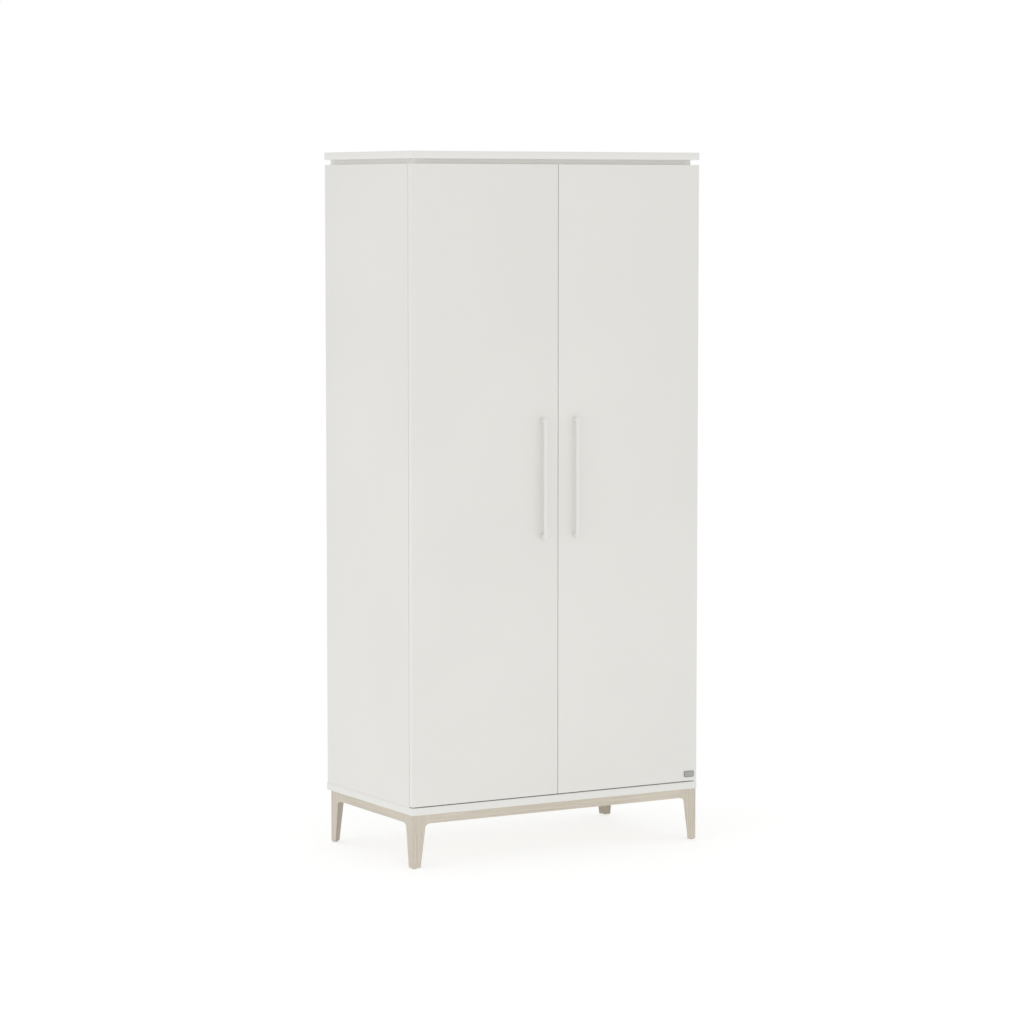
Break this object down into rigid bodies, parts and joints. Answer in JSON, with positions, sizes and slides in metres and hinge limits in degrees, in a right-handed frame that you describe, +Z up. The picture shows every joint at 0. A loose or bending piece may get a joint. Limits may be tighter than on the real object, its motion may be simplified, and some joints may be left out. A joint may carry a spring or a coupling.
{
  "type": "wardrobe with doors",
  "caption": "Tall white wardrobe with flat overlay doors, slim bar handles, a floating top slab and a base frame with tapered wooden legs.",
  "frame": {"origin": "on the floor, under the middle of the whole box, handles included", "axes": "+X to the right for a person who faces the doors, the doors face -Y, +Z up"},
  "size_m": [0.94, 0.5426, 1.99],
  "materials": {
    "white_laminate": "matt white laminate on chipboard",
    "oak": "pale grey-beige oak, matt lacquer",
    "back_board": "white-faced hardboard",
    "handle_paint": "satin white powder coat",
    "hinge_steel": "nickel-plated steel",
    "rail_chrome": "bright chrome",
    "glide_plastic": "pale moulded plastic",
    "bumper_gel": "clear soft gel",
    "plaque": "grey satin, blank"
  },
  "bodies": {
    "carcass": {"top_slab": "white_laminate", "bottom_slab": "white_laminate", "left_side_panel": "white_laminate", "right_side_panel": "white_laminate", "carcass_top_panel": "white_laminate", "centre_divider": "white_laminate", "recess_strip_front": "white_laminate", "recess_strip_back": "white_laminate", "recess_strip_left": "white_laminate", "recess_strip_right": "white_laminate", "hat_shelf": "white_laminate", "fixed_shelf": "white_laminate", "loose_shelf_1": "white_laminate", "loose_shelf_2": "white_laminate", "loose_shelf_3": "white_laminate", "back_panel_left": "back_board", "back_panel_right": "back_board", "leg_front_left": "oak", "leg_front_right": "oak", "leg_back_left": "oak", "leg_back_right": "oak", "base_rail_front": "oak", "base_rail_back": "oak", "base_rail_left": "oak", "base_rail_right": "oak", "glide_front_left": "glide_plastic", "glide_front_right": "glide_plastic", "glide_back_left": "glide_plastic", "glide_back_right": "glide_plastic", "hanging_rail": "rail_chrome", "rail_socket_left": "hinge_steel", "rail_socket_right": "hinge_steel", "anti_tip_bracket_left": "hinge_steel", "anti_tip_bracket_right": "hinge_steel", "hinge_arm_left_1": "hinge_steel", "hinge_arm_left_2": "hinge_steel", "hinge_arm_left_3": "hinge_steel", "hinge_arm_left_4": "hinge_steel", "hinge_arm_right_1": "hinge_steel", "hinge_arm_right_2": "hinge_steel", "hinge_arm_right_3": "hinge_steel", "hinge_arm_right_4": "hinge_steel"},
    "left_door": {"left_door": "white_laminate", "left_handle": "handle_paint", "hinge_cup_left_1": "hinge_steel", "hinge_cup_left_2": "hinge_steel", "hinge_cup_left_3": "hinge_steel", "hinge_cup_left_4": "hinge_steel", "bumper_left_bottom": "bumper_gel", "bumper_left_top": "bumper_gel"},
    "right_door": {"right_door": "white_laminate", "right_handle": "handle_paint", "hinge_cup_right_1": "hinge_steel", "hinge_cup_right_2": "hinge_steel", "hinge_cup_right_3": "hinge_steel", "hinge_cup_right_4": "hinge_steel", "bumper_right_bottom": "bumper_gel", "bumper_right_top": "bumper_gel", "plaque": "plaque"}
  },
  "joints": [
    {"name": "left_door_swing", "type": "hinge", "parent": "carcass", "child": "left_door", "pos_m": [-0.461, -0.24875, 1], "axis": [0, 0, -1], "range_deg": [0, 110]},
    {"name": "right_door_swing", "type": "hinge", "parent": "carcass", "child": "right_door", "pos_m": [0.461, -0.24875, 1], "axis": [0, 0, 1], "range_deg": [0, 110]}
  ]
}
